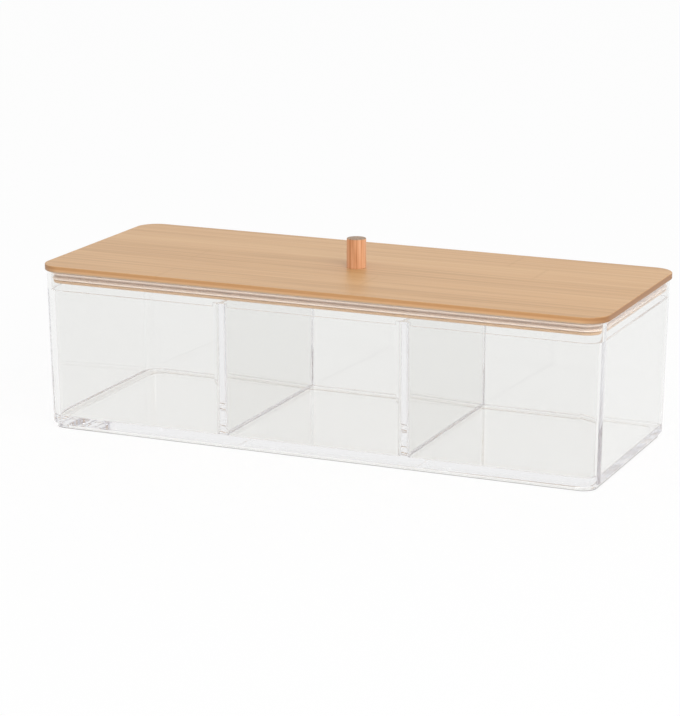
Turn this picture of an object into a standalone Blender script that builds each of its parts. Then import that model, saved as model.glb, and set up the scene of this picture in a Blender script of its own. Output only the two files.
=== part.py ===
"""Clear moulded storage box with three compartments and a lift-off bamboo lid.

Metres, +Z up. The origin is on the surface that the box stands on, under the middle of the box.
X runs along the length and -Y is the front.
"""
from math import cos, pi, radians, sin, tan

import bmesh
import bpy
from mathutils import Vector

# Lid board
LID_LENGTH = 0.3000
LID_DEPTH = 0.1216
PLATE_THICKNESS = 0.0032
LID_CORNER_RADIUS = 0.0116
EDGE_EASE = 0.0004
STEP_DEPTH = 0.0062
STEP_CLEARANCE = 0.0009
GROOVE_TOP = 0.0004
GROOVE_HEIGHT = 0.0043
GROOVE_DEPTH = 0.0014

# Moulded box
BOX_HEIGHT = 0.0819
LID_OVERHANG = 0.0013
BOX_CORNER_RADIUS = 0.0090
WALL_THICKNESS = 0.0034
RIM_THICKNESS = 0.0020
RIM_DEPTH = 0.0095
RIM_EASE = 0.0003
FLOOR_TOP = 0.0062
CORE_CORNER_RADIUS = 0.0056
ROOT_RADIUS = 0.0025
FLOOR_RADIUS = 0.0008
DIVIDER_THICKNESS = 0.0023
DIVIDER_DROP = 0.0077
SKIRT_RADIUS = 0.0004
FOOT_HEIGHT = 0.0026
FOOT_INSET = 0.0019
FOOT_EDGE_RADIUS = 0.0008
BASE_RECESS = 0.0007
BASE_RING = 0.0045

# Silicone seal
SEAL_GAP = 0.0003
SEAL_WEB = 0.0008
LIP_THICKNESS = 0.0009
LIP_TAPER = 0.0002

# Knob and its screw
KNOB_DIAMETER = 0.0098
KNOB_HEIGHT = 0.0147
KNOB_EASE = 0.0004
SCREW_HEAD_DIAMETER = 0.0068
SCREW_DIAMETER = 0.0034
SCREW_LENGTH = 0.0160
SCREW_TIP = 0.0030
PILOT_SPARE = 0.0010

# Small room between neighbours, and how far a cutter runs past what it cuts
SEAT_GAP = 0.0003
OVERRUN = 0.0020

# Angles and counts
WALL_DRAFT = radians(1.0)
DIVIDER_DRAFT = radians(0.35)
COMPARTMENTS = 3
OUTER_STEPS = 12
CORE_STEPS = 5
EASE_STEPS = 2
TURN_STEPS = 40
SMOOTH_ANGLE = radians(28)

# Levels and outlines that follow from the sizes above
plate_bottom = BOX_HEIGHT + SEAT_GAP
plate_top = plate_bottom + PLATE_THICKNESS
step_bottom = plate_bottom - STEP_DEPTH
groove_bottom = plate_bottom - GROOVE_TOP - GROOVE_HEIGHT
ledge_level = BOX_HEIGHT - RIM_DEPTH
crest_level = BOX_HEIGHT - DIVIDER_DROP
box_length = LID_LENGTH - 2 * LID_OVERHANG
box_depth = LID_DEPTH - 2 * LID_OVERHANG
step_inset = LID_OVERHANG + RIM_THICKNESS + STEP_DEPTH * tan(WALL_DRAFT) + STEP_CLEARANCE
groove_back_inset = step_inset + GROOVE_DEPTH
groove_back_radius = LID_CORNER_RADIUS - groove_back_inset


def make_collection(name):
    collection = bpy.data.collections.new(name)
    bpy.context.scene.collection.children.link(collection)
    return collection


def add_mesh_object(name, mesh, collection, material=None):
    """Names a mesh as an object, with smooth round faces and sharp arrises."""
    mesh.shade_smooth()
    mesh.set_sharp_from_angle(angle=SMOOTH_ANGLE)
    if material:
        mesh.materials.append(material)
    obj = bpy.data.objects.new(name, mesh)
    collection.objects.link(obj)
    return obj


def add_object(name, bm, collection, material=None):
    mesh = bpy.data.meshes.new(name)
    bm.to_mesh(mesh)
    bm.free()
    return add_mesh_object(name, mesh, collection, material)


def make_material(name, colour, roughness, alpha=1.0, transmission=0.0, ior=1.5, metallic=0.0):
    material = bpy.data.materials.new(name)
    material.use_nodes = True
    shader = material.node_tree.nodes["Principled BSDF"]
    shader.inputs["Base Color"].default_value = (*colour, 1.0)
    shader.inputs["Roughness"].default_value = roughness
    shader.inputs["Metallic"].default_value = metallic
    shader.inputs["Alpha"].default_value = alpha
    shader.inputs["Transmission Weight"].default_value = transmission
    shader.inputs["IOR"].default_value = ior
    return material


def make_cutter(obj):
    obj.hide_render = True
    obj.display_type = "WIRE"
    return obj


def add_cutter(name, bm):
    return make_cutter(add_object(name, bm, cutters))


def combine(target, other, operation):
    modifier = target.modifiers.new(other.name, "BOOLEAN")
    modifier.operation = operation
    modifier.object = other
    modifier.solver = "EXACT"


def wall_inset(level):
    """How far the draft has drawn the outer wall in, at a level below the rim."""
    return (BOX_HEIGHT - level) * tan(WALL_DRAFT)


def block(x_range, y_range, z_range, drafts=(0.0, 0.0, 0.0, 0.0)):
    """A box whose left, right, front and back lean in towards its bottom, each by a draft angle.

    The ranges hold at its top.
    """
    bm = bmesh.new()
    bmesh.ops.create_cube(bm, size=1.0)
    height = z_range[1] - z_range[0]
    for vert in bm.verts:
        low = vert.co.z < 0
        left, right, front, back = (height * tan(draft) if low else 0.0 for draft in drafts)
        vert.co = Vector((
            x_range[0] + left if vert.co.x < 0 else x_range[1] - right,
            y_range[0] + front if vert.co.y < 0 else y_range[1] - back,
            z_range[0] if low else z_range[1],
        ))
    return bm


def flat_edges(bm, level, tolerance):
    """The edges that lie at one level."""
    return [edge for edge in bm.edges if all(abs(vert.co.z - level) < tolerance for vert in edge.verts)]


def upright_edges(bm):
    return [edge for edge in bm.edges if edge.verts[0].co.z != edge.verts[1].co.z]


def round_edges(bm, edges, radius, steps):
    bmesh.ops.bevel(bm, geom=edges, offset=radius, offset_type="OFFSET", segments=steps, profile=0.5,
                    affect="EDGES", clamp_overlap=False)


def rounded_block(length, depth, z_range, radius, draft=0.0):
    """A block centred on the origin with upright round corners."""
    bm = block((-length / 2, length / 2), (-depth / 2, depth / 2), z_range, (draft, draft, draft, draft))
    round_edges(bm, upright_edges(bm), radius, OUTER_STEPS)
    return bm


def turned(name, outline, collection, material=None):
    """Spins an outline of (radius, level) points, given from its top down its outer side."""
    mesh = bpy.data.meshes.new(name)
    points = [(radius, 0.0, level) for radius, level in outline]
    mesh.from_pydata(points, [(i, i + 1) for i in range(len(points) - 1)], [])
    if material:
        mesh.materials.append(material)
    obj = bpy.data.objects.new(name, mesh)
    collection.objects.link(obj)
    screw = obj.modifiers.new("turn", "SCREW")
    screw.axis = "Z"
    screw.angle = 2 * pi
    screw.steps = TURN_STEPS
    screw.render_steps = TURN_STEPS
    screw.use_merge_vertices = True
    screw.merge_threshold = EDGE_EASE / 100
    screw.use_smooth_shade = True
    return obj


def make_box(material):
    """The moulding: drafted walls on a stepped foot, with a rim recess, a ledge and two dividers."""
    wall = rounded_block(box_length, box_depth, (FOOT_HEIGHT, BOX_HEIGHT), BOX_CORNER_RADIUS, WALL_DRAFT)
    round_edges(wall, flat_edges(wall, BOX_HEIGHT, RIM_EASE), RIM_EASE, EASE_STEPS)
    round_edges(wall, flat_edges(wall, FOOT_HEIGHT, SKIRT_RADIUS), SKIRT_RADIUS, EASE_STEPS)
    box = add_object("clear_box", wall, parts, material)

    foot_inset = wall_inset(FOOT_HEIGHT) + FOOT_INSET
    foot = rounded_block(
        box_length - 2 * foot_inset, box_depth - 2 * foot_inset, (0.0, FOOT_HEIGHT + OVERRUN),
        BOX_CORNER_RADIUS - FOOT_INSET,
    )
    round_edges(foot, flat_edges(foot, 0.0, FOOT_EDGE_RADIUS), FOOT_EDGE_RADIUS, CORE_STEPS)
    combine(box, add_cutter("foot_blank", foot), "UNION")

    recess_inset = foot_inset + FOOT_EDGE_RADIUS + BASE_RING
    recess = rounded_block(
        box_length - 2 * recess_inset, box_depth - 2 * recess_inset, (-OVERRUN, BASE_RECESS),
        BOX_CORNER_RADIUS - FOOT_INSET - FOOT_EDGE_RADIUS,
    )
    combine(box, add_cutter("base_recess", recess), "DIFFERENCE")

    for index, room in enumerate(compartments()):
        combine(box, make_core(index, *room), "DIFFERENCE")
    combine(box, make_rim_core(), "DIFFERENCE")
    return box


def compartments():
    """Left and right, then front and back, of each compartment's core at the core's own top."""
    inset = WALL_THICKNESS - OVERRUN * tan(WALL_DRAFT)
    divider = DIVIDER_THICKNESS - 2 * (BOX_HEIGHT + OVERRUN - crest_level) * tan(DIVIDER_DRAFT)
    span = box_length - 2 * inset
    width = (span - (COMPARTMENTS - 1) * divider) / COMPARTMENTS
    back = box_depth / 2 - inset
    lefts = [-span / 2 + index * (width + divider) for index in range(COMPARTMENTS)]
    return [((left, left + width), (-back, back)) for left in lefts]


def make_core(index, x_range, y_range):
    """Cuts one compartment, rounder where it meets the box's own corners than along a divider."""
    at_wall = (index == 0, index == COMPARTMENTS - 1)
    end_drafts = [WALL_DRAFT if at else DIVIDER_DRAFT for at in at_wall]
    core = block(x_range, y_range, (FLOOR_TOP, BOX_HEIGHT + OVERRUN), (*end_drafts, WALL_DRAFT, WALL_DRAFT))
    middle = sum(x_range) / 2
    for side, at in zip((-1, 1), at_wall):
        edges = [edge for edge in upright_edges(core) if (edge.verts[0].co.x - middle) * side > 0]
        round_edges(core, edges, CORE_CORNER_RADIUS if at else ROOT_RADIUS, CORE_STEPS)
    round_edges(core, flat_edges(core, FLOOR_TOP, FLOOR_RADIUS), FLOOR_RADIUS, CORE_STEPS)
    return add_cutter(f"compartment_core_{index + 1}", core)


def make_rim_core():
    """Cuts the rim down to the ledge, and stops at the crest of each divider and its roots."""
    top = BOX_HEIGHT + OVERRUN
    grow = 2 * OVERRUN * tan(WALL_DRAFT)
    rim = rounded_block(
        box_length - 2 * RIM_THICKNESS + grow, box_depth - 2 * RIM_THICKNESS + grow, (ledge_level, top),
        BOX_CORNER_RADIUS - RIM_THICKNESS, WALL_DRAFT,
    )
    cutter = add_cutter("rim_core", rim)
    rooms = compartments()
    for index in range(COMPARTMENTS - 1):
        middle = (rooms[index][0][1] + rooms[index + 1][0][0]) / 2
        half = DIVIDER_THICKNESS / 2 + ROOT_RADIUS
        crest = block(
            (middle - half, middle + half), (-LID_DEPTH / 2, LID_DEPTH / 2), (ledge_level - OVERRUN, crest_level),
        )
        combine(cutter, add_cutter(f"divider_crest_{index + 1}", crest), "DIFFERENCE")
    return cutter


def make_lid(material):
    """The bamboo board: cover plate, lower step, groove for the seal and the screw's countersunk hole."""
    plate = rounded_block(LID_LENGTH, LID_DEPTH, (plate_bottom, plate_top), LID_CORNER_RADIUS)
    rims = flat_edges(plate, plate_bottom, EDGE_EASE) + flat_edges(plate, plate_top, EDGE_EASE)
    round_edges(plate, rims, EDGE_EASE, EASE_STEPS)
    lid = add_object("lid_board", plate, parts, material)

    step_radius = LID_CORNER_RADIUS - step_inset
    step = rounded_block(
        LID_LENGTH - 2 * step_inset, LID_DEPTH - 2 * step_inset, (step_bottom, plate_bottom + PLATE_THICKNESS / 2),
        step_radius,
    )
    round_edges(step, flat_edges(step, step_bottom, EDGE_EASE), EDGE_EASE, EASE_STEPS)
    combine(lid, add_cutter("step_blank", step), "UNION")

    groove_top = groove_bottom + GROOVE_HEIGHT
    groove = rounded_block(LID_LENGTH, LID_DEPTH, (groove_bottom, groove_top), LID_CORNER_RADIUS)
    groove_cutter = add_cutter("seal_groove", groove)
    heart = rounded_block(
        LID_LENGTH - 2 * groove_back_inset, LID_DEPTH - 2 * groove_back_inset,
        (groove_bottom - OVERRUN, groove_top + OVERRUN), groove_back_radius,
    )
    combine(groove_cutter, add_cutter("groove_heart", heart), "DIFFERENCE")
    combine(lid, groove_cutter, "DIFFERENCE")

    shank = SCREW_DIAMETER / 2 + SEAT_GAP
    head = SCREW_HEAD_DIAMETER / 2 + SEAT_GAP
    hole = make_cutter(turned("screw_hole", [
        (0.0, plate_top + OVERRUN),
        (shank, plate_top + OVERRUN),
        (shank, step_bottom + head - shank),
        (head, step_bottom),
        (head, step_bottom - OVERRUN),
        (0.0, step_bottom - OVERRUN),
    ], cutters))
    combine(lid, hole, "DIFFERENCE")
    return lid


def closed_curve(name, points):
    """A closed flat curve through the points, in the cutters' collection."""
    curve = bpy.data.curves.new(name, "CURVE")
    spline = curve.splines.new("POLY")
    spline.points.add(len(points) - 1)
    for place, (x, y) in zip(spline.points, points):
        place.co = (x, y, 0.0, 1.0)
    spline.use_cyclic_u = True
    obj = bpy.data.objects.new(name, curve)
    cutters.objects.link(obj)
    return make_cutter(obj)


def groove_back_line():
    """Points round the back of the groove, which the seal follows: a quarter turn at each corner."""
    points = []
    for corner, (side_x, side_y) in enumerate([(1, 1), (-1, 1), (-1, -1), (1, -1)]):
        centre_x = side_x * (LID_LENGTH / 2 - groove_back_inset - groove_back_radius)
        centre_y = side_y * (LID_DEPTH / 2 - groove_back_inset - groove_back_radius)
        for step in range(OUTER_STEPS + 1):
            turn = (corner + step / OUTER_STEPS) * pi / 2
            points.append((centre_x + groove_back_radius * cos(turn), centre_y + groove_back_radius * sin(turn)))
    return points


def seal_section():
    """Two lips on a web, over the seal's foot. Minus X is out from the groove's back."""
    height = GROOVE_HEIGHT - 2 * SEAL_GAP
    web = SEAL_GAP + SEAL_WEB
    reach = GROOVE_DEPTH + STEP_CLEARANCE - SEAT_GAP
    tip = LIP_TAPER + LIP_THICKNESS
    return [
        (-SEAL_GAP, 0.0),
        (-reach, LIP_TAPER),
        (-reach, tip),
        (-web, tip + LIP_TAPER),
        (-web, height - tip - LIP_TAPER),
        (-reach, height - tip),
        (-reach, height - LIP_TAPER),
        (-SEAL_GAP, height),
    ]


def make_seal(material):
    """The silicone ring: its section carried along the groove as a curve's bevel, then made a mesh."""
    path = closed_curve("seal_path", groove_back_line())
    path.data.bevel_mode = "OBJECT"
    path.data.bevel_object = closed_curve("seal_section", seal_section())
    path.location.z = groove_bottom + SEAL_GAP
    bpy.context.view_layer.update()
    swept = path.evaluated_get(bpy.context.evaluated_depsgraph_get())
    seal = add_mesh_object("lid_seal", bpy.data.meshes.new_from_object(swept), parts, material)
    seal.matrix_world = path.matrix_world
    bpy.data.objects.remove(path.data.bevel_object, do_unlink=True)
    bpy.data.objects.remove(path, do_unlink=True)
    return seal


def make_knob(material):
    """A turned cylinder with eased ends and a blind pilot hole for the screw."""
    radius = KNOB_DIAMETER / 2
    foot = plate_top + SEAT_GAP
    top = foot + KNOB_HEIGHT
    pilot = SCREW_DIAMETER / 2 + SEAT_GAP
    pilot_end = step_bottom + SCREW_LENGTH + PILOT_SPARE
    return turned("knob", [
        (0.0, top),
        (radius - KNOB_EASE, top),
        (radius, top - KNOB_EASE),
        (radius, foot + KNOB_EASE),
        (radius - KNOB_EASE, foot),
        (pilot, foot),
        (pilot, pilot_end),
        (0.0, pilot_end + pilot / 2),
    ], parts, material)


def make_screw(material):
    """Countersunk wood screw, head down, its head flush with the underside of the step."""
    head = SCREW_HEAD_DIAMETER / 2
    shank = SCREW_DIAMETER / 2
    return turned("knob_screw", [
        (0.0, step_bottom + SCREW_LENGTH),
        (shank, step_bottom + SCREW_LENGTH - SCREW_TIP),
        (shank, step_bottom + head - shank),
        (head, step_bottom),
        (0.0, step_bottom),
    ], parts, material)


for old in list(bpy.data.objects):
    bpy.data.objects.remove(old, do_unlink=True)
parts = make_collection("storage_organizer")
cutters = make_collection("cutters")

make_box(make_material("clear_polystyrene", (0.90, 0.91, 0.91), 0.04, 0.35, 1.0, 1.59))
bamboo = make_material("bamboo_board", (0.68, 0.45, 0.28), 0.45)
silicone = make_material("clear_silicone", (0.82, 0.79, 0.76), 0.35, 0.8)
turned_bamboo = make_material("bamboo_knob", (0.68, 0.34, 0.16), 0.5)
steel = make_material("plated_steel", (0.62, 0.62, 0.62), 0.3, metallic=1.0)

lid_origin = bpy.data.objects.new("lid_origin", None)
lid_origin.location = (0.0, 0.0, BOX_HEIGHT)
parts.objects.link(lid_origin)
bpy.context.view_layer.update()
for piece in (make_lid(bamboo), make_seal(silicone), make_knob(turned_bamboo), make_screw(steel)):
    piece.parent = lid_origin
    piece.matrix_parent_inverse = lid_origin.matrix_world.inverted()
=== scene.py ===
from math import cos, pi, radians, sin, tan

import bmesh
import bpy
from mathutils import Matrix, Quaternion, Vector


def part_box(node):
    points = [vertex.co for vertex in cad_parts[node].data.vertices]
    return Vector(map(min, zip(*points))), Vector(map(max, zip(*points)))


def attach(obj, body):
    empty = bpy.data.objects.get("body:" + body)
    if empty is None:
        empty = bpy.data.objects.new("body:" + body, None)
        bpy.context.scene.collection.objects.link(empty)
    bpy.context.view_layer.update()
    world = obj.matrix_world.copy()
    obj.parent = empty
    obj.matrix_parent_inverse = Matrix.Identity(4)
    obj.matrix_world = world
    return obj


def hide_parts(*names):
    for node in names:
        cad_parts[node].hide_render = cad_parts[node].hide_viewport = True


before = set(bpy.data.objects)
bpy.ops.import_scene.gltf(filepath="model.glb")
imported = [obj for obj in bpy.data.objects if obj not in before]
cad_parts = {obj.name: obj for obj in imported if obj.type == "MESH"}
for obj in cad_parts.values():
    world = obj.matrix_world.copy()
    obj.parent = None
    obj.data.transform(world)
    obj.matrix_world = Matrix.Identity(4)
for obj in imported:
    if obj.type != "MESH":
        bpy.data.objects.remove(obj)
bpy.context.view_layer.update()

scene = bpy.context.scene
scene.view_settings.view_transform = "Standard"
# Light that is caught between the box's faces turns back many times before it gets out, and the seal and the
# lid's step are seen through it, so no ray is cut short and none is blurred.
LIGHT_BOUNCES = 256
scene.cycles.max_bounces = LIGHT_BOUNCES
scene.cycles.transmission_bounces = LIGHT_BOUNCES
scene.cycles.glossy_bounces = LIGHT_BOUNCES
scene.cycles.blur_glossy = 0.0


# Camera
# It stands where the photograph was taken from: a long lens, a little above the lid, to the right of the
# box's front. Its place was solved from the edges of the lid and of the box's foot.
VIEW_TARGET = Vector((-0.0089, 0.0, 0.0372))
VIEW_DISTANCE = 1.3815
VIEW_AZIMUTH = radians(23.337)
VIEW_ELEVATION = radians(14.038)
VIEW_ROLL = radians(0.109)
FOCAL_LENGTH_MM = 136.19


def stand_around(thing, azimuth, elevation, distance, roll=0.0):
    """Stands a camera or a lamp around the box, facing it. Azimuth turns from its front towards its right."""
    outwards = Vector((sin(azimuth) * cos(elevation), -cos(azimuth) * cos(elevation), sin(elevation)))
    thing.location = VIEW_TARGET + outwards * distance
    thing.rotation_mode = "QUATERNION"
    thing.rotation_quaternion = outwards.to_track_quat("Z", "Y") @ Quaternion((0.0, 0.0, 1.0), roll)
    scene.collection.objects.link(thing)


camera = bpy.data.objects.new("camera", bpy.data.cameras.new("camera"))
camera.data.lens = FOCAL_LENGTH_MM
stand_around(camera, VIEW_AZIMUTH, VIEW_ELEVATION, VIEW_DISTANCE, VIEW_ROLL)
scene.camera = camera


# Box
# One injection moulding in clear polystyrene: floor, drafted walls, rim, ledge, stepped foot and the two
# dividers all came out of one tool. The tool was polished, so every face is glossy, and each edge keeps the
# small round that a tool's own edge has.
BOX_CORNER_RADIUS = 0.0090
WALL_THICKNESS = 0.0034
WALL_DRAFT = radians(1.0)
RIM_THICKNESS = 0.0020
RIM_DEPTH = 0.0095
FLOOR_TOP = 0.0062
CORE_CORNER_RADIUS = 0.0056
ROOT_RADIUS = 0.0025
FLOOR_RADIUS = 0.0008
DIVIDER_THICKNESS = 0.0023
DIVIDER_DROP = 0.0077
DIVIDER_DRAFT = radians(0.35)
SKIRT_RADIUS = 0.0004
FOOT_HEIGHT = 0.0026
FOOT_INSET = 0.0019
FOOT_EDGE_RADIUS = 0.0008
BASE_RECESS = 0.0007
BASE_RING = 0.0045
TOOL_EDGE_ROUND = 0.0001
OVERRUN = 0.0020
COMPARTMENTS = (-1, 0, 1)
CORNER_STEPS = 24
ROOT_STEPS = 12
TOOL_EDGE_STEPS = 2
SHARP_EDGE = radians(38)
MOULD_WELD = 0.000001

box_low, box_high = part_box("clear_box")
box_length = box_high.x - box_low.x
box_depth = box_high.y - box_low.y
box_height = box_high.z
ledge_level = box_height - RIM_DEPTH
crest_level = box_height - DIVIDER_DROP
core_top = box_height + OVERRUN


def drafted_block(x_range, y_range, z_range, drafts=(0.0, 0.0, 0.0, 0.0)):
    """A block whose left, right, front and back lean in towards its bottom. The ranges hold at its top."""
    bm = bmesh.new()
    bmesh.ops.create_cube(bm, size=1.0)
    height = z_range[1] - z_range[0]
    for vert in bm.verts:
        low = vert.co.z < 0
        left, right, front, back = (height * tan(draft) if low else 0.0 for draft in drafts)
        vert.co = Vector((
            x_range[0] + left if vert.co.x < 0 else x_range[1] - right,
            y_range[0] + front if vert.co.y < 0 else y_range[1] - back,
            z_range[0] if low else z_range[1],
        ))
    return bm


def flat_edges(bm, level):
    """The edges that lie at a level."""
    return [edge for edge in bm.edges if all(abs(vert.co.z - level) < TOOL_EDGE_ROUND for vert in edge.verts)]


def upright_edges(bm):
    """The edges that climb from one level to another."""
    return [edge for edge in bm.edges if edge.verts[0].co.z != edge.verts[1].co.z]


def round_edges(bm, edges, radius, steps, clamp=False):
    """Gives edges a round of a radius. Clamping makes it smaller where an edge is too short for it."""
    bmesh.ops.bevel(bm, geom=edges, offset=radius, offset_type="OFFSET", segments=steps, profile=0.5,
                    affect="EDGES", clamp_overlap=clamp)


def round_cornered_block(length, depth, z_range, radius, draft=0.0):
    """A block in the middle, with round upright corners and the same draft all round."""
    bm = drafted_block((-length / 2, length / 2), (-depth / 2, depth / 2), z_range, (draft,) * 4)
    round_edges(bm, upright_edges(bm), radius, CORNER_STEPS)
    return bm


def mesh_of(name, bm):
    """The mesh of a bmesh, which is then freed."""
    mesh = bpy.data.meshes.new(name)
    bm.to_mesh(mesh)
    bm.free()
    return mesh


def add_piece(name, shape, material=None):
    """Adds an object. Its shape is a mesh, or a bmesh that becomes one."""
    mesh = mesh_of(name, shape) if isinstance(shape, bmesh.types.BMesh) else shape
    if material:
        mesh.materials.append(material)
    piece = bpy.data.objects.new(name, mesh)
    scene.collection.objects.link(piece)
    return piece


def cut_or_join(piece, tool, operation):
    """Cuts a tool out of a piece, or joins it on, once the piece is settled."""
    modifier = piece.modifiers.new(tool.name, "BOOLEAN")
    modifier.operation = operation
    modifier.object = tool
    modifier.solver = "EXACT"


def settle(piece, tools=()):
    """Turns a piece and its modifiers into a plain mesh, and takes away the tools that shaped it."""
    bpy.context.view_layer.update()
    mesh = bpy.data.meshes.new_from_object(piece.evaluated_get(bpy.context.evaluated_depsgraph_get()))
    piece.modifiers.clear()
    piece.data = mesh
    for tool in tools:
        bpy.data.objects.remove(tool, do_unlink=True)
    return piece


def polish(piece):
    """Smooth shading that keeps the flat faces flat: each corner takes the normal of its largest faces."""
    piece.data.shade_smooth()
    weighted = piece.modifiers.new("flat_faces_stay_flat", "WEIGHTED_NORMAL")
    weighted.mode = "FACE_AREA"
    weighted.keep_sharp = True
    return settle(piece)


def wall_inset(level):
    """How far the draft has drawn the outer wall in, at a level below the rim."""
    return (box_height - level) * tan(WALL_DRAFT)


wall = round_cornered_block(box_length, box_depth, (FOOT_HEIGHT, box_height), BOX_CORNER_RADIUS, WALL_DRAFT)
round_edges(wall, flat_edges(wall, FOOT_HEIGHT), SKIRT_RADIUS, ROOT_STEPS)
clear_box = add_piece("box_moulding", wall)
box_tools = []

foot_inset = wall_inset(FOOT_HEIGHT) + FOOT_INSET
foot = round_cornered_block(
    box_length - 2 * foot_inset, box_depth - 2 * foot_inset, (0.0, FOOT_HEIGHT + OVERRUN),
    BOX_CORNER_RADIUS - FOOT_INSET,
)
round_edges(foot, flat_edges(foot, 0.0), FOOT_EDGE_RADIUS, ROOT_STEPS)
box_tools.append(add_piece("foot_tool", foot))
cut_or_join(clear_box, box_tools[-1], "UNION")

recess_inset = foot_inset + FOOT_EDGE_RADIUS + BASE_RING
recess = round_cornered_block(
    box_length - 2 * recess_inset, box_depth - 2 * recess_inset, (-OVERRUN, BASE_RECESS),
    BOX_CORNER_RADIUS - FOOT_INSET - FOOT_EDGE_RADIUS,
)
box_tools.append(add_piece("base_tool", recess))
cut_or_join(clear_box, box_tools[-1], "DIFFERENCE")

core_inset = WALL_THICKNESS - OVERRUN * tan(WALL_DRAFT)
core_divider = DIVIDER_THICKNESS - 2 * (core_top - crest_level) * tan(DIVIDER_DRAFT)
dividers = len(COMPARTMENTS) - 1
core_width = (box_length - 2 * core_inset - dividers * core_divider) / len(COMPARTMENTS)
core_back = box_depth / 2 - core_inset
for place in COMPARTMENTS:
    middle = place * (core_width + core_divider)
    drafts = [WALL_DRAFT if place == side else DIVIDER_DRAFT for side in (-1, 1)]
    core = drafted_block(
        (middle - core_width / 2, middle + core_width / 2), (-core_back, core_back), (FLOOR_TOP, core_top),
        (*drafts, WALL_DRAFT, WALL_DRAFT),
    )
    for side in (-1, 1):
        corners = [edge for edge in upright_edges(core) if (edge.verts[0].co.x - middle) * side > 0]
        round_edges(core, corners, CORE_CORNER_RADIUS if place == side else ROOT_RADIUS, ROOT_STEPS)
    round_edges(core, flat_edges(core, FLOOR_TOP), FLOOR_RADIUS, ROOT_STEPS)
    box_tools.append(add_piece("core_tool", core))
    cut_or_join(clear_box, box_tools[-1], "DIFFERENCE")

rim_grow = 2 * OVERRUN * tan(WALL_DRAFT)
rim = round_cornered_block(
    box_length - 2 * RIM_THICKNESS + rim_grow, box_depth - 2 * RIM_THICKNESS + rim_grow,
    (ledge_level, core_top), BOX_CORNER_RADIUS - RIM_THICKNESS, WALL_DRAFT,
)
rim_tool = add_piece("rim_tool", rim)
crest_half = DIVIDER_THICKNESS / 2 + ROOT_RADIUS
for side in (-1, 1):
    middle = side * (core_width + core_divider) / 2
    crest = drafted_block(
        (middle - crest_half, middle + crest_half), (-box_depth / 2, box_depth / 2),
        (ledge_level - OVERRUN, crest_level),
    )
    crest_tool = add_piece("crest_tool", crest)
    cut_or_join(rim_tool, crest_tool, "DIFFERENCE")
    settle(rim_tool, [crest_tool])
box_tools.append(rim_tool)
cut_or_join(clear_box, rim_tool, "DIFFERENCE")
settle(clear_box, box_tools)

moulding = bmesh.new()
moulding.from_mesh(clear_box.data)
bmesh.ops.remove_doubles(moulding, verts=moulding.verts, dist=MOULD_WELD)
tool_edges = [edge for edge in moulding.edges if edge.is_manifold and edge.calc_face_angle() > SHARP_EDGE]
round_edges(moulding, tool_edges, TOOL_EDGE_ROUND, TOOL_EDGE_STEPS, clamp=True)
clear_box.data = mesh_of("box_moulding", moulding)


def srgb(code):
    """The linear colour of an sRGB hex code."""
    channels = [int(code[start:start + 2], 16) / 255 for start in (0, 2, 4)]
    return (*(c / 12.92 if c <= 0.04045 else ((c + 0.055) / 1.055) ** 2.4 for c in channels), 1.0)


def add_node(tree, kind, settings=None, inputs=None, stops=()):
    """Adds a node. An input given as a node or a socket is linked, any other is set. Stops are a ramp's."""
    node = tree.nodes.new(kind)
    for name, value in (settings or {}).items():
        setattr(node, name, value)
    for key, value in (inputs or {}).items():
        if isinstance(value, bpy.types.Node):
            value = next(socket for socket in value.outputs if socket.enabled)
        if isinstance(value, bpy.types.NodeSocket):
            tree.links.new(value, node.inputs[key])
        else:
            node.inputs[key].default_value = value
    for index, (place, code) in enumerate(stops):
        ramp = node.color_ramp.elements
        stop = ramp[index] if index < len(ramp) else ramp.new(place)
        stop.position = place
        stop.color = srgb(code)
    return node


def new_material(name):
    """An empty material and its node tree."""
    material = bpy.data.materials.new(name)
    material.use_nodes = True
    material.node_tree.nodes.clear()
    return material, material.node_tree


# Clear polystyrene, injection moulded in a polished tool. Its faces take off a little light, so a wall shows
# as a pale grey on white. Light that runs along inside a wall goes a long way through it, so the edges and
# corners show as lines of a lilac grey.
POLYSTYRENE_IOR = 1.59
FACE_TINT = "F6F6F5"
DEPTH_TINT = "E4E4EA"
DEPTH_TINT_DENSITY = 2.5

polystyrene, tree = new_material("clear_polystyrene_polished_moulding")
surface = add_node(tree, "ShaderNodeBsdfPrincipled", inputs={
    "Base Color": srgb(FACE_TINT), "Roughness": 0.0, "IOR": POLYSTYRENE_IOR, "Transmission Weight": 1.0,
})
inside = add_node(tree, "ShaderNodeVolumeAbsorption", inputs={
    "Color": srgb(DEPTH_TINT), "Density": DEPTH_TINT_DENSITY,
})
add_node(tree, "ShaderNodeOutputMaterial", inputs={"Surface": surface, "Volume": inside})

clear_box.data.materials.append(polystyrene)
polish(clear_box)
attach(clear_box, "box")
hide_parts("clear_box")


# Lid board
# A flat-pressed bamboo board, sanded and sealed. Its thin cover plate lies on the rim, and the step below it
# drops inside. A groove is routed round the step for the seal, and a countersunk hole takes the knob's screw.
PLATE_THICKNESS = 0.0032
LID_CORNER_RADIUS = 0.0116
EDGE_EASE = 0.0004
STEP_DEPTH = 0.0062
STEP_CLEARANCE = 0.0009
GROOVE_TOP = 0.0004
GROOVE_HEIGHT = 0.0043
GROOVE_DEPTH = 0.0014
HOLE_RADIUS = 0.0020
HOLE_HEAD_RADIUS = 0.0037
EASE_STEPS = 4
TURN_STEPS = 96
SWEEP_WELD = 0.000005
MM_PER_M = 1000.0

lid_low, lid_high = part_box("lid_board")
plate_top = lid_high.z
plate_bottom = plate_top - PLATE_THICKNESS
step_bottom = plate_bottom - STEP_DEPTH
groove_top = plate_bottom - GROOVE_TOP
groove_bottom = groove_top - GROOVE_HEIGHT
lid_overhang = lid_high.x - box_high.x
step_inset = lid_overhang + RIM_THICKNESS + STEP_DEPTH * tan(WALL_DRAFT) + STEP_CLEARANCE
groove_back_inset = step_inset + GROOVE_DEPTH


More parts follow.
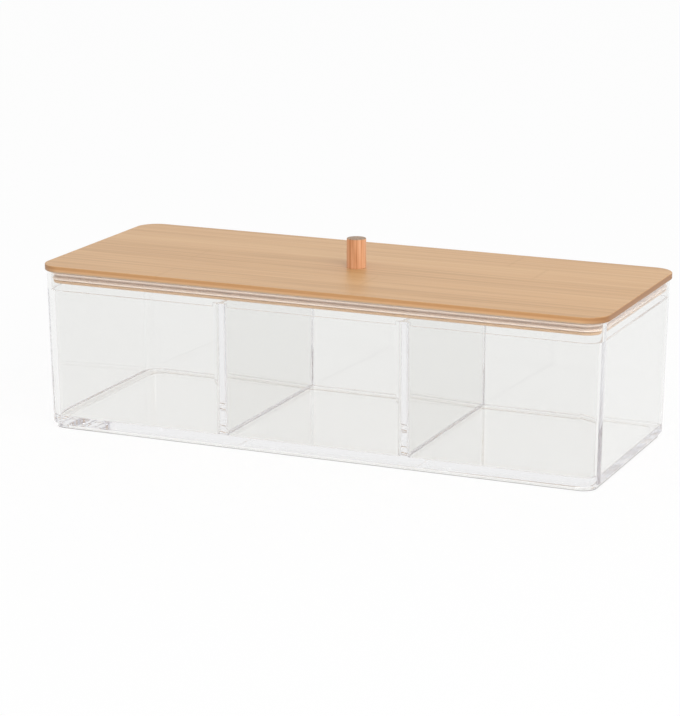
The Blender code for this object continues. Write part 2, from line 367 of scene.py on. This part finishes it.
def new_tree(name, inputs):
    """An empty Geometry Nodes tree with named inputs. It gives back the tree and its inputs."""
    tree = bpy.data.node_groups.new(name, "GeometryNodeTree")
    tree.interface.new_socket("Geometry", in_out="OUTPUT", socket_type="NodeSocketGeometry")
    for label, kind in inputs.items():
        tree.interface.new_socket(label, in_out="INPUT", socket_type=f"NodeSocket{kind}")
    return tree, add_node(tree, "NodeGroupInput").outputs


def grow(piece, tree, values):
    """Runs a tree on a piece with the given inputs, and leaves a plain closed mesh that faces outwards."""
    modifier = piece.modifiers.new(tree.name, "NODES")
    modifier.node_group = tree
    for item in tree.interface.items_tree:
        if item.in_out == "INPUT" and item.name in values:
            modifier[item.identifier] = values[item.name]
    settle(piece)
    bm = bmesh.new()
    bm.from_mesh(piece.data)
    bmesh.ops.recalc_face_normals(bm, faces=bm.faces)
    bm.to_mesh(piece.data)
    bm.free()


# The rule that the board and its seal share: one section runs round a rectangle with round corners. Where the
# section is open, the rectangle itself closes it above and below.
round_frame, given = new_tree("section_round_a_frame", {
    "Section": "Geometry", "Length": "Float", "Depth": "Float", "Corner Radius": "Float",
    "Corner Steps": "Int", "Level": "Float", "Top": "Float", "Bottom": "Float", "Closed Above": "Bool",
    "Material": "Material",
})
section = add_node(round_frame, "GeometryNodeMeshToCurve", inputs={"Mesh": given["Section"]})
path = add_node(round_frame, "GeometryNodeCurvePrimitiveQuadrilateral", {"mode": "RECTANGLE"}, {
    "Width": given["Length"], "Height": given["Depth"],
})
path = add_node(round_frame, "GeometryNodeFilletCurve", {"mode": "POLY"}, {
    "Curve": path, "Count": given["Corner Steps"], "Radius": given["Corner Radius"],
})
path = add_node(round_frame, "GeometryNodeSetCurveNormal", {"mode": "Z_UP"}, {"Curve": path})
swept = add_node(round_frame, "GeometryNodeCurveToMesh", inputs={"Curve": path, "Profile Curve": section})
sheet = add_node(round_frame, "GeometryNodeFillCurve", {"mode": "NGONS"}, {"Curve": path})
capped = add_node(round_frame, "GeometryNodeJoinGeometry")
round_frame.links.new(swept.outputs[0], capped.inputs[0])
for label in ("Top", "Bottom"):
    height = add_node(round_frame, "ShaderNodeCombineXYZ", inputs={"Z": given[label]})
    cap = add_node(round_frame, "GeometryNodeTransform", inputs={"Geometry": sheet, "Translation": height})
    round_frame.links.new(cap.outputs[0], capped.inputs[0])
chosen = add_node(round_frame, "GeometryNodeSwitch", {"input_type": "GEOMETRY"}, {
    "Switch": given["Closed Above"], "False": swept, "True": capped,
})
welded = add_node(round_frame, "GeometryNodeMergeByDistance", inputs={
    "Geometry": chosen, "Distance": SWEEP_WELD,
})
level = add_node(round_frame, "ShaderNodeCombineXYZ", inputs={"Z": given["Level"]})
placed = add_node(round_frame, "GeometryNodeTransform", inputs={"Geometry": welded, "Translation": level})
real = add_node(round_frame, "GeometryNodeRealizeInstances", inputs={"Geometry": placed})
finished = add_node(round_frame, "GeometryNodeSetMaterial", inputs={
    "Geometry": real, "Material": given["Material"],
})
add_node(round_frame, "NodeGroupOutput", inputs={"Geometry": finished})


def outline_mesh(name, points, closed):
    """A section as a chain of (outwards, up) points. The sweep lays its Y axis downwards."""
    mesh = bpy.data.meshes.new(name)
    edges = [(i, i + 1) for i in range(len(points) - 1)]
    if closed:
        edges.append((len(points) - 1, 0))
    mesh.from_pydata([(out, -up, 0.0) for out, up in points], edges, [])
    return mesh


def quarter(centre_out, centre_up, radius, start):
    """Points of an eased arris, a quarter turn clockwise from a start angle given in quarter turns."""
    turns = [(start - step / EASE_STEPS) * pi / 2 for step in range(EASE_STEPS + 1)]
    return [(centre_out + radius * cos(turn), centre_up + radius * sin(turn)) for turn in turns]


# Distances are measured outwards from the groove's back, so the plate's edge is at groove_back_inset.
board_section = [
    (0.0, plate_top),
    *quarter(groove_back_inset - EDGE_EASE, plate_top - EDGE_EASE, EDGE_EASE, 1),
    *quarter(groove_back_inset - EDGE_EASE, plate_bottom + EDGE_EASE, EDGE_EASE, 0),
    (GROOVE_DEPTH, plate_bottom),
    (GROOVE_DEPTH, groove_top),
    (0.0, groove_top),
    (0.0, groove_bottom),
    (GROOVE_DEPTH, groove_bottom),
    *quarter(GROOVE_DEPTH - EDGE_EASE, step_bottom + EDGE_EASE, EDGE_EASE, 0),
    (0.0, step_bottom),
]
frame_sizes = {
    "Length": lid_high.x - lid_low.x - 2 * groove_back_inset,
    "Depth": lid_high.y - lid_low.y - 2 * groove_back_inset,
    "Corner Radius": LID_CORNER_RADIUS - groove_back_inset,
    "Corner Steps": CORNER_STEPS,
}

# Flat-pressed bamboo, sanded and sealed satin. Strips 24 mm wide lie side by side along the board, each with
# its own tone, fine fibres that run along it and one faint growth node. The fibres are drawn 0.8 mm wide,
# four times their size, so that they show. The cut edge shows the plies: a dark one, a lighter heart and a
# greyer one. Its ends are end grain, which drinks the sealer and goes darker. The step below the plate is
# routed after sealing, so it is raw and paler, and it is painted paler still: painted light that lifts the
# shade under the plate's edge.
STRIP_WIDTH_MM = 24.0
FIRST_JOINT_MM = -39.0
JOINT_WIDTH_MM = 2.4
JOINT_SHARE = 0.35
NODE_SPREAD_MM = 240.0
NODE_WIDTH_MM = 1.5
NODE_WANDER_MM = 3.0
NODE_SHARE = 0.5
STREAK_WIDTH_MM = 3.2
STREAK_LENGTH_MM = 150.0
STREAK_SHARE = 0.55
FIBRE_WIDTH_MM = 0.8
FIBRE_LENGTH_MM = 45.0
FIBRE_SHARE = 0.35
TONE_SHARE = 0.10
BAMBOO_DARK = "C0915C"
BAMBOO_JOINT = "C59764"
GRAIN_TONES = [(0.30, BAMBOO_DARK), (0.52, "D6A874"), (0.72, "DFB683")]
PLY_TONES = [(0.42, "BF8A57"), (0.58, "D5A577"), (0.72, "D5A577"), (0.84, "C0A282")]
PLY_GRAIN_SHARE = 0.4
BAMBOO_END_GRAIN = "946234"
END_GRAIN_SHARE = 0.8
BAMBOO_RAW_AND_PAINTED_LIGHT = "D2AE88"
SEALER_IOR = 1.5
BOARD_SHEEN = (0.36, 0.50)
BOARD_PORES = 0.25
PORE_DEPTH = 0.0001


def in_millimetres(tree):
    """A piece's own coordinates, in millimetres."""
    place = add_node(tree, "ShaderNodeTexCoord").outputs["Object"]
    return add_node(tree, "ShaderNodeMapping", inputs={
        "Vector": place, "Scale": (MM_PER_M, MM_PER_M, MM_PER_M),
    })


def fibre_pattern(tree, place, spot_mm, detail, roughness):
    """A noise whose spots are drawn out: one measures so many millimetres along X, Y and Z."""
    drawn_out = add_node(tree, "ShaderNodeMapping", inputs={
        "Vector": place, "Scale": tuple(1 / size for size in spot_mm),
    })
    return add_node(tree, "ShaderNodeTexNoise", inputs={
        "Vector": drawn_out, "Scale": 1.0, "Detail": detail, "Roughness": roughness,
    })


def seal_satin(tree, wood, fibres, sheen, pores):
    """Ends a wood's tree with its satin sealer, which is thin and leaves the fibres and pores to be felt."""
    roughness = add_node(tree, "ShaderNodeMapRange", inputs={
        "Value": fibres, "To Min": sheen[0], "To Max": sheen[1],
    })
    bump = add_node(tree, "ShaderNodeBump", inputs={
        "Height": fibres, "Strength": pores, "Distance": PORE_DEPTH,
    })
    surface = add_node(tree, "ShaderNodeBsdfPrincipled", inputs={
        "Base Color": wood, "Roughness": roughness, "Normal": bump, "IOR": SEALER_IOR,
    })
    add_node(tree, "ShaderNodeOutputMaterial", inputs={"Surface": surface})


sealed_bamboo, tree = new_material("bamboo_flat_pressed_sealed_satin")
mm = in_millimetres(tree)
axes = add_node(tree, "ShaderNodeSeparateXYZ", inputs={"Vector": mm}).outputs
from_joint = add_node(tree, "ShaderNodeMath", {"operation": "SUBTRACT"}, {0: axes["Y"], 1: FIRST_JOINT_MM})
to_joint = add_node(tree, "ShaderNodeMath", {"operation": "PINGPONG"}, {0: from_joint, 1: STRIP_WIDTH_MM / 2})
across = add_node(tree, "ShaderNodeMath", {"operation": "DIVIDE"}, {0: from_joint, 1: STRIP_WIDTH_MM})
strip = add_node(tree, "ShaderNodeMath", {"operation": "FLOOR"}, {0: across})
strip_tone = add_node(tree, "ShaderNodeTexWhiteNoise", {"noise_dimensions": "1D"}, {"W": strip})

# Each strip is cut from another stretch of the same grain.
along = add_node(tree, "ShaderNodeMath", {"operation": "MULTIPLY"}, {0: strip_tone, 1: STREAK_LENGTH_MM})
shift = add_node(tree, "ShaderNodeCombineXYZ", inputs={"X": along})
own_place = add_node(tree, "ShaderNodeVectorMath", {"operation": "ADD"}, {0: mm, 1: shift})
streak_mm = (STREAK_LENGTH_MM, STREAK_WIDTH_MM, STREAK_WIDTH_MM)
streaks = fibre_pattern(tree, own_place, streak_mm, detail=3.0, roughness=0.6)
fibre_mm = (FIBRE_LENGTH_MM, FIBRE_WIDTH_MM, FIBRE_WIDTH_MM)
fibres = fibre_pattern(tree, own_place, fibre_mm, detail=2.0, roughness=0.5)
grain = add_node(tree, "ShaderNodeMath", {"operation": "MULTIPLY"}, {0: strip_tone, 1: TONE_SHARE})
grain = add_node(tree, "ShaderNodeMath", {"operation": "MULTIPLY_ADD"}, {
    0: fibres, 1: FIBRE_SHARE, 2: grain,
})
grain = add_node(tree, "ShaderNodeMath", {"operation": "MULTIPLY_ADD"}, {
    0: streaks, 1: STREAK_SHARE, 2: grain,
})
wood = add_node(tree, "ShaderNodeValToRGB", inputs={"Fac": grain}, stops=GRAIN_TONES)
joint = add_node(tree, "ShaderNodeMapRange", {"interpolation_type": "SMOOTHSTEP"}, {
    "Value": to_joint, "From Max": JOINT_WIDTH_MM, "To Min": JOINT_SHARE, "To Max": 0.0,
})
wood = add_node(tree, "ShaderNodeMix", {"data_type": "RGBA"}, {
    "Factor": joint, "A": wood, "B": srgb(BAMBOO_JOINT),
})

# The growth node crosses its strip at a place of its own, in a line that wanders with the grain.
node_place = add_node(tree, "ShaderNodeMapRange", inputs={
    "Value": strip_tone, "To Min": -NODE_SPREAD_MM / 2, "To Max": NODE_SPREAD_MM / 2,
})
to_node = add_node(tree, "ShaderNodeMath", {"operation": "SUBTRACT"}, {0: axes["X"], 1: node_place})
to_node = add_node(tree, "ShaderNodeMath", {"operation": "MULTIPLY_ADD"}, {
    0: streaks, 1: NODE_WANDER_MM, 2: to_node,
})
to_node = add_node(tree, "ShaderNodeMath", {"operation": "ABSOLUTE"}, {0: to_node})
near_node = add_node(tree, "ShaderNodeMapRange", {"interpolation_type": "SMOOTHSTEP"}, {
    "Value": to_node, "From Max": NODE_WIDTH_MM, "To Min": NODE_SHARE, "To Max": 0.0,
})
growth_node = add_node(tree, "ShaderNodeMath", {"operation": "MULTIPLY"}, {0: near_node, 1: fibres})
wood = add_node(tree, "ShaderNodeMix", {"data_type": "RGBA"}, {
    "Factor": growth_node, "A": wood, "B": srgb(BAMBOO_DARK),
})

# The cut edge, from the top of the plate down, and its ends.
down = add_node(tree, "ShaderNodeMapRange", inputs={
    "Value": axes["Z"], "From Min": plate_top * MM_PER_M, "From Max": plate_bottom * MM_PER_M,
})
plies = add_node(tree, "ShaderNodeValToRGB", inputs={"Fac": down}, stops=PLY_TONES)
ply_grain = add_node(tree, "ShaderNodeMath", {"operation": "MULTIPLY"}, {0: grain, 1: PLY_GRAIN_SHARE})
plies = add_node(tree, "ShaderNodeMix", {"data_type": "RGBA"}, {"Factor": ply_grain, "A": plies, "B": wood})
normal = add_node(tree, "ShaderNodeTexCoord").outputs["Normal"]
facing = add_node(tree, "ShaderNodeSeparateXYZ", inputs={"Vector": normal}).outputs["X"]
facing = add_node(tree, "ShaderNodeMath", {"operation": "ABSOLUTE"}, {0: facing})
at_end = add_node(tree, "ShaderNodeMath", {"operation": "MULTIPLY"}, {0: facing, 1: END_GRAIN_SHARE})
plies = add_node(tree, "ShaderNodeMix", {"data_type": "RGBA"}, {
    "Factor": at_end, "A": plies, "B": srgb(BAMBOO_END_GRAIN),
})
cut_edge = add_node(tree, "ShaderNodeMapRange", inputs={
    "Value": axes["Z"], "From Min": (plate_top - EDGE_EASE) * MM_PER_M, "From Max": plate_top * MM_PER_M,
    "To Min": 1.0, "To Max": 0.0,
})
wood = add_node(tree, "ShaderNodeMix", {"data_type": "RGBA"}, {"Factor": cut_edge, "A": wood, "B": plies})
# Below the plate the step is the raw routed wood, painted paler as painted light against the shade under the
# plate.
routed_and_painted_light = add_node(tree, "ShaderNodeMath", {"operation": "LESS_THAN"}, {
    0: axes["Z"], 1: plate_bottom * MM_PER_M,
})
wood = add_node(tree, "ShaderNodeMix", {"data_type": "RGBA"}, {
    "Factor": routed_and_painted_light, "A": wood, "B": srgb(BAMBOO_RAW_AND_PAINTED_LIGHT),
})
seal_satin(tree, wood, fibres, BOARD_SHEEN, BOARD_PORES)

lid_board = add_piece("bamboo_board", outline_mesh("bamboo_board", board_section, closed=False))
grow(lid_board, round_frame, {
    **frame_sizes, "Level": 0.0, "Top": plate_top, "Bottom": step_bottom, "Closed Above": True,
    "Material": sealed_bamboo,
})


def turned(name, outline, material=None, steps=TURN_STEPS):
    """A piece spun about the upright axis from an outline of (radius, level) points."""
    bm = bmesh.new()
    points = [bm.verts.new((radius, 0.0, height)) for radius, height in outline]
    chain = [bm.edges.new(pair) for pair in zip(points, points[1:])]
    bmesh.ops.spin(bm, geom=points + chain, cent=(0.0, 0.0, 0.0), axis=(0.0, 0.0, 1.0), angle=2 * pi,
                   steps=steps)
    bmesh.ops.remove_doubles(bm, verts=bm.verts, dist=SWEEP_WELD)
    bmesh.ops.recalc_face_normals(bm, faces=bm.faces)
    return add_piece(name, bm, material)


hole_tool = turned("hole_tool", [
    (0.0, plate_top + OVERRUN),
    (HOLE_RADIUS, plate_top + OVERRUN),
    (HOLE_RADIUS, step_bottom + HOLE_HEAD_RADIUS - HOLE_RADIUS),
    (HOLE_HEAD_RADIUS, step_bottom),
    (HOLE_HEAD_RADIUS, step_bottom - OVERRUN),
    (0.0, step_bottom - OVERRUN),
])
cut_or_join(lid_board, hole_tool, "DIFFERENCE")
settle(lid_board, [hole_tool])
polish(lid_board)
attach(lid_board, "lid")
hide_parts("lid_board")


# Seal
# One ring of milky silicone, moulded and pressed into the groove, where it rests on the lower side. Its two
# lips bend against the rim and keep the lid from rattling. Through the box's wall they show as two pale
# bands with a dark one between them.
SEAL_GAP = 0.0003
SEAL_SEAT = 0.00003
SEAL_WEB = 0.0008
LIP_THICKNESS = 0.0009
LIP_TAPER = 0.0002
LIP_STEPS = 8
SEAL_ROUND = 0.00042

# Like the solid's, the lips stop short of the rim by the seal's gap.
seal_height = GROOVE_HEIGHT - SEAL_GAP - SEAL_SEAT
seal_reach = GROOVE_DEPTH + STEP_CLEARANCE - SEAL_GAP
web_face = SEAL_GAP + SEAL_WEB


def lip_nose(middle):
    """The round nose of one lip, from its lower to its upper side."""
    turns = [-pi / 2 + pi * step / LIP_STEPS for step in range(LIP_STEPS + 1)]
    nose = LIP_THICKNESS / 2
    return [(seal_reach - nose + nose * cos(turn), middle + nose * sin(turn)) for turn in turns]


lower_lip = LIP_TAPER + LIP_THICKNESS / 2
root = LIP_THICKNESS + 2 * LIP_TAPER
seal_section = [
    (SEAL_GAP, 0.0),
    *lip_nose(lower_lip),
    (web_face + SEAL_ROUND / 2, root - LIP_TAPER / 2),
    (web_face, root + SEAL_ROUND / 2),
    (web_face, seal_height - root - SEAL_ROUND / 2),
    (web_face + SEAL_ROUND / 2, seal_height - root + LIP_TAPER / 2),
    *lip_nose(seal_height - lower_lip),
    (SEAL_GAP, seal_height),
]

# Translucent silicone rubber, moulded in a blasted tool: milky, with a soft sheen. Between the lips the web
# is
# painted darker and browner: painted shade for the little light that gets in there, tinted with the bamboo's
# brown.
SILICONE_IOR = 1.41
SILICONE_CLEAR_SHARE = 0.04
SILICONE_SHEEN = (0.28, 0.40)
SILICONE_MILK = "FFF0E4"
SILICONE_CLOUD = "FFEAD9"
SILICONE_PAINTED_SHADE = "AE907B"
CLOUD_SIZE_MM = 2.5
SHADE_SPREAD = 1.4

silicone, tree = new_material("silicone_rubber_moulded_translucent")
mm = in_millimetres(tree)
clouds = add_node(tree, "ShaderNodeTexNoise", inputs={
    "Vector": mm, "Scale": 1 / CLOUD_SIZE_MM, "Detail": 2.0,
})
milk = add_node(tree, "ShaderNodeMix", {"data_type": "RGBA"}, {
    "Factor": clouds, "A": srgb(SILICONE_MILK), "B": srgb(SILICONE_CLOUD),
})
level = add_node(tree, "ShaderNodeSeparateXYZ", inputs={"Vector": mm}).outputs["Z"]
# Painted shade: the web is darkened towards the middle of the seal, between its lips.
seal_middle = groove_bottom + SEAL_SEAT + seal_height / 2
from_middle = add_node(tree, "ShaderNodeMath", {"operation": "SUBTRACT"}, {
    0: level, 1: seal_middle * MM_PER_M,
})
from_middle = add_node(tree, "ShaderNodeMath", {"operation": "ABSOLUTE"}, {0: from_middle})
half_gap = seal_height / 2 - LIP_TAPER - LIP_THICKNESS
painted_shade_between_lips = add_node(tree, "ShaderNodeMapRange", {"interpolation_type": "SMOOTHSTEP"}, {
    "Value": from_middle, "From Max": half_gap * MM_PER_M * SHADE_SPREAD, "To Min": 1.0, "To Max": 0.0,
})
milk = add_node(tree, "ShaderNodeMix", {"data_type": "RGBA"}, {
    "Factor": painted_shade_between_lips, "A": milk, "B": srgb(SILICONE_PAINTED_SHADE),
})
sheen = add_node(tree, "ShaderNodeMapRange", inputs={
    "Value": clouds, "To Min": SILICONE_SHEEN[0], "To Max": SILICONE_SHEEN[1],
})
surface = add_node(tree, "ShaderNodeBsdfPrincipled", inputs={
    "Base Color": milk, "Roughness": sheen, "IOR": SILICONE_IOR, "Transmission Weight": SILICONE_CLEAR_SHARE,
})
add_node(tree, "ShaderNodeOutputMaterial", inputs={"Surface": surface})

lid_seal = add_piece("silicone_seal", outline_mesh("silicone_seal", seal_section, closed=True))
grow(lid_seal, round_frame, {
    **frame_sizes, "Level": groove_bottom + SEAL_SEAT, "Closed Above": False, "Material": silicone,
})
polish(lid_seal)
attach(lid_seal, "lid")
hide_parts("lid_seal")


# Screw
# A zinc-plated countersunk wood screw, 3.4 by 16 mm, driven up through the board into the knob. Its head lies
# flush with the underside of the step. Its thread and cross recess are rolled and struck in the blank.
SCREW_HEAD_RADIUS = 0.0034
SCREW_CREST_RADIUS = 0.0017
SCREW_CORE_RADIUS = 0.0012
SCREW_LENGTH = 0.0160
SCREW_TIP = 0.0030
SCREW_SHANK = 0.0040
THREAD_PITCH = 0.0014
THREAD_STEPS = 24
RIDGE_SIDES = 3
SCREW_TURN_STEPS = 48
RECESS_WIDTH = 0.0009
RECESS_LENGTH = 0.0036
RECESS_DEPTH = 0.0016

screw_end = step_bottom + SCREW_LENGTH
thread_start = step_bottom + SCREW_SHANK

# Zinc-plated steel, bright and a little uneven where the bath has left it.
ZINC_DULL = "B4B7BA"
ZINC_BRIGHT = "C9CBCD"
ZINC_SHEEN = (0.22, 0.38)
BATH_SPOT_MM = 0.625

plated_steel, tree = new_material("steel_zinc_plated")
bath = add_node(tree, "ShaderNodeTexNoise", inputs={
    "Vector": in_millimetres(tree), "Scale": 1 / BATH_SPOT_MM, "Detail": 4.0,
})
zinc = add_node(tree, "ShaderNodeMix", {"data_type": "RGBA"}, {
    "Factor": bath, "A": srgb(ZINC_DULL), "B": srgb(ZINC_BRIGHT),
})
sheen = add_node(tree, "ShaderNodeMapRange", inputs={
    "Value": bath, "To Min": ZINC_SHEEN[0], "To Max": ZINC_SHEEN[1],
})
surface = add_node(tree, "ShaderNodeBsdfPrincipled", inputs={
    "Base Color": zinc, "Metallic": 1.0, "Roughness": sheen,
})
add_node(tree, "ShaderNodeOutputMaterial", inputs={"Surface": surface})

knob_screw = turned("countersunk_screw", [
    (0.0, screw_end),
    (SCREW_CORE_RADIUS, screw_end - SCREW_TIP),
    (SCREW_CORE_RADIUS, thread_start),
    (SCREW_CREST_RADIUS, thread_start - SCREW_CREST_RADIUS + SCREW_CORE_RADIUS),
    (SCREW_CREST_RADIUS, step_bottom + SCREW_HEAD_RADIUS - SCREW_CREST_RADIUS),
    (SCREW_HEAD_RADIUS, step_bottom),
    (0.0, step_bottom),
], plated_steel, SCREW_TURN_STEPS)
slots = []
for half_x, half_y in ((RECESS_WIDTH / 2, RECESS_LENGTH / 2), (RECESS_LENGTH / 2, RECESS_WIDTH / 2)):
    slot = drafted_block(
        (-half_x, half_x), (-half_y, half_y), (step_bottom - OVERRUN, step_bottom + RECESS_DEPTH),
    )
    slots.append(add_piece("recess_tool", slot))
    cut_or_join(knob_screw, slots[-1], "DIFFERENCE")
settle(knob_screw, slots)

# The thread's rule: a ridge of three sides that climbs round the core.
thread_tree, given = new_tree("thread_round_a_core", {
    "Blank": "Geometry", "Start Radius": "Float", "End Radius": "Float", "Turns": "Float", "Length": "Float",
    "Level": "Float", "Ridge": "Float", "Material": "Material",
})
climb = add_node(thread_tree, "GeometryNodeCurveSpiral", inputs={
    "Resolution": THREAD_STEPS, "Rotations": given["Turns"], "Start Radius": given["Start Radius"],
    "End Radius": given["End Radius"], "Height": given["Length"],
})
ridge = add_node(thread_tree, "GeometryNodeCurvePrimitiveCircle", inputs={
    "Resolution": RIDGE_SIDES, "Radius": given["Ridge"],
})
thread = add_node(thread_tree, "GeometryNodeCurveToMesh", inputs={
    "Curve": climb, "Profile Curve": ridge, "Fill Caps": True,
})
level = add_node(thread_tree, "ShaderNodeCombineXYZ", inputs={"Z": given["Level"]})
placed = add_node(thread_tree, "GeometryNodeTransform", inputs={"Geometry": thread, "Translation": level})
joined = add_node(thread_tree, "GeometryNodeJoinGeometry")
for part in (given["Blank"], placed.outputs[0]):
    thread_tree.links.new(part, joined.inputs[0])
real = add_node(thread_tree, "GeometryNodeRealizeInstances", inputs={"Geometry": joined})
finished = add_node(thread_tree, "GeometryNodeSetMaterial", inputs={
    "Geometry": real, "Material": given["Material"],
})
add_node(thread_tree, "NodeGroupOutput", inputs={"Geometry": finished})

ridge_radius = SCREW_CREST_RADIUS - SCREW_CORE_RADIUS
thread_length = SCREW_LENGTH - SCREW_SHANK - SCREW_TIP
grow(knob_screw, thread_tree, {
    "Start Radius": SCREW_CORE_RADIUS, "End Radius": SCREW_CORE_RADIUS, "Turns": thread_length / THREAD_PITCH,
    "Length": thread_length, "Level": thread_start, "Ridge": ridge_radius, "Material": plated_steel,
})
polish(knob_screw)
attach(knob_screw, "lid")
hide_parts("knob_screw")


# Knob
# A plain cylinder turned from bamboo, 10 mm across, with its ends just broken. The screw pulls it down on the
# middle of the board, where it stands. Its fibres run up it, so its top is end grain, darker and duller.
KNOB_EASE = 0.0004
KNOB_FOOT_EASE = 0.0001
KNOB_SEAT = 0.00003
PILOT_RADIUS = 0.0020
PILOT_SPARE = 0.0010

knob_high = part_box("knob")[1]
knob_radius = knob_high.x
pilot_end = screw_end + PILOT_SPARE
knob_foot = plate_top + KNOB_SEAT

# Turned bamboo, sealed satin. The fibres are bundles a fifth of a millimetre across, drawn here three times
# as wide so that they show; the end grain shows them as dots.
KNOB_FIBRE_MM = 0.6
KNOB_FIBRE_LENGTH_MM = 22.0
KNOB_BAND_MM = 2.6
KNOB_BAND_LENGTH_MM = 44.0
KNOB_BAND_SHARE = 0.5
KNOB_FIBRE_SHARE = 0.5
KNOB_TONES = [(0.34, "C08254"), (0.50, "E6AA7F"), (0.68, "F1BE97")]
KNOB_END_TONES = [(0.38, "82654A"), (0.58, "B39478")]
KNOB_SHEEN = (0.38, 0.55)
KNOB_PORES = 0.3

turned_bamboo, tree = new_material("bamboo_turned_sealed_satin")
mm = in_millimetres(tree)
bands = fibre_pattern(tree, mm, (KNOB_BAND_MM, KNOB_BAND_MM, KNOB_BAND_LENGTH_MM), detail=2.0, roughness=0.5)
fibre_mm = (KNOB_FIBRE_MM, KNOB_FIBRE_MM, KNOB_FIBRE_LENGTH_MM)
fibres = fibre_pattern(tree, mm, fibre_mm, detail=2.0, roughness=0.5)
grain = add_node(tree, "ShaderNodeMath", {"operation": "MULTIPLY"}, {0: fibres, 1: KNOB_FIBRE_SHARE})
grain = add_node(tree, "ShaderNodeMath", {"operation": "MULTIPLY_ADD"}, {
    0: bands, 1: KNOB_BAND_SHARE, 2: grain,
})
side = add_node(tree, "ShaderNodeValToRGB", inputs={"Fac": grain}, stops=KNOB_TONES)
end = add_node(tree, "ShaderNodeValToRGB", inputs={"Fac": fibres}, stops=KNOB_END_TONES)
height = add_node(tree, "ShaderNodeSeparateXYZ", inputs={"Vector": mm}).outputs["Z"]
at_end = add_node(tree, "ShaderNodeMapRange", inputs={
    "Value": height, "From Min": (knob_high.z - KNOB_EASE) * MM_PER_M, "From Max": knob_high.z * MM_PER_M,
})
wood = add_node(tree, "ShaderNodeMix", {"data_type": "RGBA"}, {"Factor": at_end, "A": side, "B": end})
seal_satin(tree, wood, fibres, KNOB_SHEEN, KNOB_PORES)

knob = turned("turned_knob", [
    (0.0, knob_high.z),
    *quarter(knob_radius - KNOB_EASE, knob_high.z - KNOB_EASE, KNOB_EASE, 1),
    *quarter(knob_radius - KNOB_FOOT_EASE, knob_foot + KNOB_FOOT_EASE, KNOB_FOOT_EASE, 0),
    (PILOT_RADIUS, knob_foot),
    (PILOT_RADIUS, pilot_end),
    (0.0, pilot_end + PILOT_RADIUS / 2),
], turned_bamboo)
polish(knob)
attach(knob, "lid")
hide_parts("knob")


# Key light
# A large softbox stands in front of the box, well to the right of the camera and above it. It gives the lid
# its sheen and the knob its lit side.
KEY_DISTANCE = 1.6
KEY_AZIMUTH = radians(52)
KEY_ELEVATION = radians(30)
KEY_SIZE = 0.9
KEY_POWER = 9.0

key = bpy.data.objects.new("key_light", bpy.data.lights.new("key_light", "AREA"))
key.data.energy = KEY_POWER
key.data.size = KEY_SIZE
stand_around(key, KEY_AZIMUTH, KEY_ELEVATION, KEY_DISTANCE)


# Floor and room
# A white paper sweep under a white room, as in a product photograph. Both are white to the eye and through
# the box, and the room is dimmer on matt surfaces, so that wood keeps its own colour. The paper keeps a
# share of real shading, for the box's faint shadow.
PAPER_HALF_WIDTH = 4.0
PAPER_DROP = 0.00005
PAPER_GLOW = 0.92
PAPER_COLOUR = "FAFAFA"
CONTACT_REACH = 0.0004
CONTACT_SAMPLES = 8
CONTACT_PAINTED_SHADOW = "2A1E16"
ROOM_AMBIENT = 0.75
WHITE = "FFFFFF"


def seen_by_the_eye(tree):
    """1 for the camera's own rays and those that gloss or clear plastic passes on to it, 0 for all others."""
    rays = add_node(tree, "ShaderNodeLightPath").outputs
    plain = add_node(tree, "ShaderNodeMath", {"operation": "MAXIMUM"}, {
        0: rays["Is Camera Ray"], 1: rays["Is Glossy Ray"],
    })
    return add_node(tree, "ShaderNodeMath", {"operation": "MAXIMUM"}, {
        0: plain, 1: rays["Is Transmission Ray"],
    })


floor = bmesh.new()
bmesh.ops.create_grid(floor, x_segments=1, y_segments=1, size=PAPER_HALF_WIDTH)
bmesh.ops.translate(floor, verts=floor.verts, vec=(0.0, 0.0, -PAPER_DROP))
paper, tree = new_material("white_paper_sweep")
lit = add_node(tree, "ShaderNodeBsdfDiffuse", inputs={"Color": srgb(PAPER_COLOUR)})

# Where the foot nearly touches the paper no light gets in; a painted shadow darkens the glow that the camera
# sees there, a fine dark line along the foot.
open_to_light = add_node(tree, "ShaderNodeAmbientOcclusion", {"samples": CONTACT_SAMPLES}, {
    "Distance": CONTACT_REACH,
})
painted_contact_shadow = add_node(tree, "ShaderNodeMix", {"data_type": "RGBA"}, {
    "Factor": open_to_light.outputs["AO"], "A": srgb(CONTACT_PAINTED_SHADOW), "B": srgb(WHITE),
})
paper_white_and_painted_shadow = add_node(tree, "ShaderNodeMix", {"data_type": "RGBA"}, {
    "Factor": add_node(tree, "ShaderNodeLightPath").outputs["Is Camera Ray"],
    "A": srgb(WHITE), "B": painted_contact_shadow,
})
glow = add_node(tree, "ShaderNodeEmission", inputs={"Color": paper_white_and_painted_shadow, "Strength": 1.0})
glow_share = add_node(tree, "ShaderNodeMath", {"operation": "MULTIPLY"}, {
    0: seen_by_the_eye(tree), 1: PAPER_GLOW,
})
mixed = add_node(tree, "ShaderNodeMixShader", inputs={0: glow_share, 1: lit, 2: glow})
add_node(tree, "ShaderNodeOutputMaterial", inputs={"Surface": mixed})
floor_sheet = add_piece("floor_sheet", floor, paper)

world = bpy.data.worlds.new("white_studio")
world.use_nodes = True
tree = world.node_tree
tree.nodes.clear()
ambient = add_node(tree, "ShaderNodeBackground", inputs={"Color": srgb(WHITE), "Strength": ROOM_AMBIENT})
white = add_node(tree, "ShaderNodeBackground", inputs={"Color": srgb(WHITE), "Strength": 1.0})
mixed = add_node(tree, "ShaderNodeMixShader", inputs={0: seen_by_the_eye(tree), 1: ambient, 2: white})
add_node(tree, "ShaderNodeOutputWorld", inputs={"Surface": mixed})
scene.world = world
